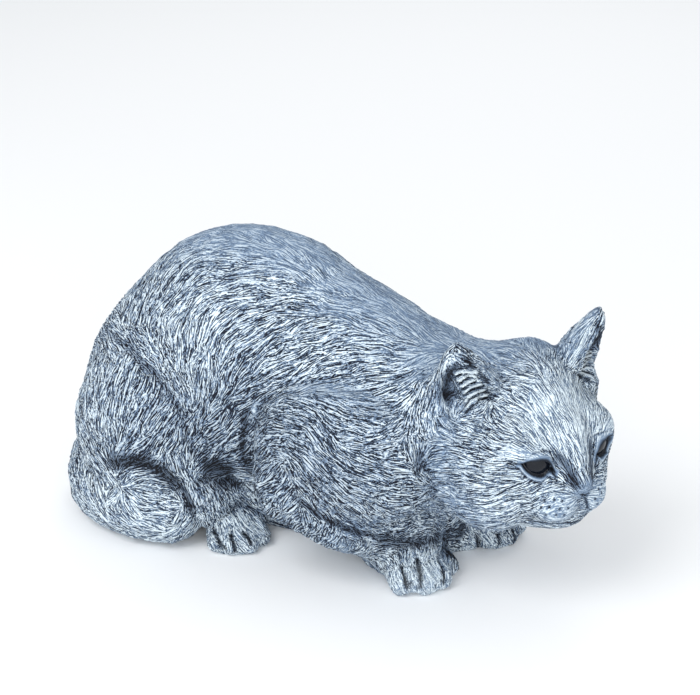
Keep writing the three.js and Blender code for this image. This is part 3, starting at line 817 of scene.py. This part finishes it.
def dry_brushed_stone(settings):
    """Cast stone, washed dark blue-grey and then dry-brushed pale over the ridges of the coat, with painted
    shade in its creases and hollows and painted light on its paws.
    """
    made = bpy.data.materials.new("cast stone, washed and dry-brushed")
    made.use_nodes = True
    tree = made.node_tree
    tree.nodes.clear()
    place = add(tree, "ShaderNodeTexCoord").outputs["Object"]
    lie = add(tree, "ShaderNodeAttribute", attribute_name="lie").outputs["Vector"]
    dark, pale, bare, fine, eye = (read(tree, name) for name in ("dark", "pale", "bare", "fine", "eye"))
    coarse_hairs = brushed_hairs(tree, place, lie, settings.hair_width, 0.0085, 15)
    fine_hairs = brushed_hairs(tree, place, lie, settings.hair_width * 0.78, 0.0054, 12)
    hairs = between(tree, fine, coarse_hairs, fine_hairs)
    ridge = between(tree, 0.12, hairs, read(tree, "strand"))
    ridge = between(tree, bare, ridge, 0.56)
    speck = add(tree, "ShaderNodeTexNoise", {"Vector": place, "Scale": 900.0, "Detail": 2.0}).outputs[0]
    blotch = add(tree, "ShaderNodeTexNoise", {"Vector": place, "Scale": 24.0, "Detail": 3.0}).outputs[0]
    # Painted shade in the creases and hollows, from how deep the skin lies below its surroundings.
    hollow = eased(tree, read(tree, "hollow"), 0.0, 2.2)
    # What moves the finish towards the pale paint or the dark wash: how far, and what counts as none. The
    # pale and dark marks are partly painted light and shade, and the hollows are painted shade.
    for share, amount, none in (
        (speck, 0.16, 0.5),
        (blotch, 0.22, 0.5),
        (pale, 0.34, 0.0),
        (dark, -0.5, 0.0),
        (hollow, -0.3, 0.0),
    ):
        feeds = {0: share, 1: amount, 2: -none * amount}
        shift = add(tree, "ShaderNodeMath", feeds, operation="MULTIPLY_ADD").outputs[0]
        ridge = add(tree, "ShaderNodeMath", {0: ridge, 1: shift}, operation="ADD").outputs[0]
    wash_and_painted_shade, stone, brush_and_painted_light = list(settings.wash_and_painted_shade), list(settings.stone), list(settings.brush_and_painted_light)
    body = mixed(tree, eased(tree, ridge, 0.06, 0.56), wash_and_painted_shade, stone)
    body = mixed(tree, eased(tree, ridge, 0.48, 1.0), body, brush_and_painted_light)
    # The dark marks: the wash in the cuts and lines, and painted shade in the creases, gaps and ears.
    body = mixed(tree, eased(tree, dark, 0.0, 1.0, 0.0, 0.75), body, wash_and_painted_shade, "MULTIPLY")
    # Painted shade in the creases and hollows, tinted with the wash colour.
    body = mixed(tree, eased(tree, hollow, 0.0, 1.0, 0.0, 0.35), body, wash_and_painted_shade, "MULTIPLY")
    # The pale marks: dry brush on the rims, brows and muzzle, and painted light on the paws.
    body = mixed(tree, eased(tree, pale, 0.65, 1.0, 0.0, 0.7), body, brush_and_painted_light)
    gloss = eased(tree, eye, 0.3, 0.6)
    body = mixed(tree, gloss, body, list(settings.eye))
    height = between(tree, 0.25, ridge, speck)
    relief = {"Strength": eased(tree, gloss, 0.0, 1.0, 0.9, 0.0), "Distance": 0.0007, "Height": height}
    feeds = {
        "Base Color": body,
        "Specular IOR Level": 0.3,
        "Roughness": eased(tree, gloss, 0.0, 1.0, 0.85, 0.2),
        "Normal": add(tree, "ShaderNodeBump", relief).outputs[0],
    }
    stuff = add(tree, "ShaderNodeBsdfPrincipled", feeds)
    add(tree, "ShaderNodeOutputMaterial", {"Surface": stuff.outputs[0]})
    return made


def floor_paper(settings):
    """Plain matt paper, pale, under and behind the statue."""
    made = bpy.data.materials.new("matt backing paper")
    made.use_nodes = True
    stuff = made.node_tree.nodes["Principled BSDF"]
    stuff.inputs["Base Color"].default_value = list(settings.floor)
    stuff.inputs["Roughness"].default_value = 0.9
    return made


def evaluated(obj):
    """The mesh of obj with its modifiers applied."""
    return bpy.data.meshes.new_from_object(obj.evaluated_get(bpy.context.evaluated_depsgraph_get()))


class StatueSettings(bpy.types.PropertyGroup):
    clay_cell: bpy.props.FloatProperty(
        name="Clay cell", description="Cell of the fine skin", default=0.0008, unit="LENGTH"
    )
    most_triangles: bpy.props.IntProperty(
        name="Most triangles", description="Triangles kept in the finished skin", default=194000
    )
    strand_width: bpy.props.FloatProperty(
        name="Strand width", description="From one carved strand to the next", default=0.0031, unit="LENGTH"
    )
    strand_length: bpy.props.FloatProperty(
        name="Strand length", description="Length of one carved strand", default=0.016, unit="LENGTH"
    )
    strand_depth: bpy.props.FloatProperty(
        name="Strand depth", description="Depth of the cuts between strands", default=0.0012, unit="LENGTH"
    )
    lock_depth: bpy.props.FloatProperty(
        name="Lock depth", description="Depth of the hollows between locks", default=0.0010, unit="LENGTH"
    )
    hair_width: bpy.props.FloatProperty(
        name="Hair width", description="From one brushed hair to the next", default=0.0026, unit="LENGTH"
    )
    # The wash colour, also the tint of the painted shade.
    wash_and_painted_shade: bpy.props.FloatVectorProperty(
        name="Wash",
        description="Dark wash left in the cuts",
        subtype="COLOR",
        size=4,
        default=colour("0E1523"),
    )
    stone: bpy.props.FloatVectorProperty(
        name="Stone", description="Tinted stone", subtype="COLOR", size=4, default=colour("7187A2")
    )
    # The dry-brush colour, also the colour of the painted light on the paws.
    brush_and_painted_light: bpy.props.FloatVectorProperty(
        name="Dry brush",
        description="Pale paint on the ridges",
        subtype="COLOR",
        size=4,
        default=colour("DAE7EE"),
    )
    eye: bpy.props.FloatVectorProperty(
        name="Eyes",
        description="Dark gloss paint on the eyes",
        subtype="COLOR",
        size=4,
        default=colour("0D121B"),
    )
    floor: bpy.props.FloatVectorProperty(
        name="Floor", description="Paper under the statue", subtype="COLOR", size=4, default=colour("F4F5F6")
    )


class STATUE_OT_cat(bpy.types.Operator):
    """Makes the fine skin of the cat from the cast solid, carves its coat and paints it"""

    bl_idname = "statue.cat"
    bl_label = "Cat"

    def execute(self, context):
        settings = context.scene.statue
        if "cat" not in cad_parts:
            raise RuntimeError("the frame has no solid named cat")
        rough = bmesh.new()
        rough.from_mesh(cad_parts["cat"].data)
        bmesh.ops.remove_doubles(rough, verts=rough.verts, dist=1e-6)
        mesh = bpy.data.meshes.new("cat_skin")
        rough.to_mesh(mesh)
        rough.free()
        cat = bpy.data.objects.new("cat_skin", mesh)
        context.scene.collection.objects.link(cat)
        remesh = cat.modifiers.new("fine skin", "REMESH")
        remesh.mode = "VOXEL"
        remesh.voxel_size = settings.clay_cell * 1.0
        mesh = evaluated(cat)
        cat.modifiers.clear()
        cat.data = mesh
        clay = Clay(mesh)
        clay.relax(30)
        # How deep each point lies below its surroundings; the finish paints shade by it into the creases and
        # hollows.
        clay.paint["hollow"] = clay.hollows(60)
        carve_face(clay)
        carve_body(clay)
        clay.shape()
        lie = carve_coat(clay, settings)
        clay.shape()
        clay.points[:, 2] = np.maximum(clay.points[:, 2], 0.0)
        clay.write()
        for name, values in clay.paint.items():
            held = mesh.attributes.new(name, "FLOAT", "POINT")
            held.data.foreach_set("value", values.astype(np.float32))
        held = mesh.attributes.new("lie", "FLOAT_VECTOR", "POINT")
        held.data.foreach_set("vector", lie.astype(np.float32).ravel())
        triangles = sum(len(p.vertices) - 2 for p in mesh.polygons)
        if triangles > settings.most_triangles:
            free = cat.vertex_groups.new(name="free")
            free.add(np.flatnonzero(~finest(clay.points)).tolist(), 1.0, "REPLACE")
            thin = cat.modifiers.new("thinned", "DECIMATE")
            thin.vertex_group = free.name
            thin.ratio = settings.most_triangles / triangles
            mesh = evaluated(cat)
            cat.modifiers.clear()
            cat.vertex_groups.clear()
            cat.data = mesh
        mesh.shade_smooth()
        mesh.materials.clear()
        mesh.materials.append(dry_brushed_stone(settings))
        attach(cat, "root")
        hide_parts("cat")
        return {"FINISHED"}


class STATUE_OT_stage(bpy.types.Operator):
    """Sets the floor, the lights and the camera"""

    bl_idname = "statue.stage"
    bl_label = "Stage"

    def execute(self, context):
        settings = context.scene.statue
        scene = context.scene
        paper = bmesh.new()
        bmesh.ops.create_grid(paper, x_segments=1, y_segments=1, size=6.0)
        mesh = bpy.data.meshes.new("floor")
        paper.to_mesh(mesh)
        paper.free()
        floor = bpy.data.objects.new("floor", mesh)
        mesh.materials.append(floor_paper(settings))
        scene.collection.objects.link(floor)

        sky = bpy.data.worlds.new("soft studio")
        sky.use_nodes = True
        sky.node_tree.nodes["Background"].inputs["Color"].default_value = (0.96, 0.98, 1.0, 1.0)
        sky.node_tree.nodes["Background"].inputs["Strength"].default_value = 0.75
        scene.world = sky
        for name, where, size, power in LAMPS:
            lamp = bpy.data.lights.new(name, "AREA")
            lamp.size = size
            lamp.energy = power
            light = bpy.data.objects.new(name, lamp)
            light.location = where
            light.rotation_mode = "QUATERNION"
            light.rotation_quaternion = (Vector(LAMPS_AIM) - Vector(where)).to_track_quat("-Z", "Y")
            scene.collection.objects.link(light)

        view = bpy.data.cameras.new("camera")
        view.lens = CAMERA_LENS
        view.sensor_width = 36.0
        camera = bpy.data.objects.new("camera", view)
        turn, rise = math.radians(CAMERA_TURN), math.radians(CAMERA_RISE)
        back = Vector((math.sin(turn) * math.cos(rise), -math.cos(turn) * math.cos(rise), math.sin(rise)))
        camera.location = Vector(CAMERA_AIM) + back * CAMERA_AWAY
        camera.rotation_mode = "QUATERNION"
        camera.rotation_quaternion = (-back).to_track_quat("-Z", "Y")
        scene.collection.objects.link(camera)
        scene.camera = camera
        scene.view_settings.view_transform = "Standard"
        return {"FINISHED"}


class STATUE_PT_panel(bpy.types.Panel):
    """Buttons for the statue's pieces"""

    bl_label = "Statue"
    bl_idname = "STATUE_PT_panel"
    bl_space_type = "VIEW_3D"
    bl_region_type = "UI"
    bl_category = "Statue"

    def draw(self, context):
        for operator in OPERATORS:
            self.layout.operator(operator.bl_idname)


OPERATORS = (STATUE_OT_cat, STATUE_OT_stage)
CLASSES = (StatueSettings, *OPERATORS, STATUE_PT_panel)


def register():
    for each in CLASSES:
        bpy.utils.register_class(each)
    bpy.types.Scene.statue = bpy.props.PointerProperty(type=StatueSettings)


def unregister():
    del bpy.types.Scene.statue
    for each in reversed(CLASSES):
        bpy.utils.unregister_class(each)


def main():
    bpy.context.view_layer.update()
    register()
    bpy.ops.statue.cat()
    bpy.ops.statue.stage()


if __name__ == "__main__":
    main()
